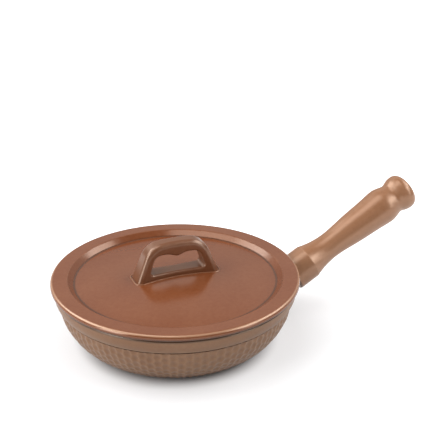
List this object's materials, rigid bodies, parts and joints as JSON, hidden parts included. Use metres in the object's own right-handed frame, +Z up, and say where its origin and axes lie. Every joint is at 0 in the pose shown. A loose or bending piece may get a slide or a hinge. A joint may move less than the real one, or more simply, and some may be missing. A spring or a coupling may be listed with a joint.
{
  "type": "covered frying pan",
  "caption": "Round deep frying pan in copper-coloured glazed stoneware, with a scooped lower wall, a hollow handle bolted to a stub and a recessed lid with a loop grip.",
  "frame": {"origin": "centre of the flat resting face under the bowl, on the bowl's axis", "axes": "+Z up along the bowl's axis, +X the way the handle points"},
  "size_m": [0.3939, 0.24, 0.1216],
  "materials": {
    "pan_glaze": "satin copper-brown glaze with a faint metallic sheen",
    "handle_glaze": "satin copper-brown glaze, a little glossier than the bowl",
    "lid_glaze": "semi-gloss reddish copper glaze",
    "fixing_steel": "plain stainless steel",
    "insert_brass": "turned, cemented in",
    "gasket_rubber": "matt dark brown heat-resistant rubber"
  },
  "bodies": {
    "pan": {"pan_body": "pan_glaze", "handle_insert": "insert_brass", "handle_gasket": "gasket_rubber", "handle_shell": "handle_glaze", "tie_rod": "fixing_steel", "end_washer": "fixing_steel", "spring_washer": "fixing_steel", "end_nut": "fixing_steel"},
    "lid": {"lid_plate": "lid_glaze", "lid_grip": "lid_glaze"}
  },
  "joints": [
    {"name": "lid_lift", "type": "slide", "parent": "pan", "child": "lid", "axis": [0, 0, 1], "range_m": [0, 0.12]}
  ]
}
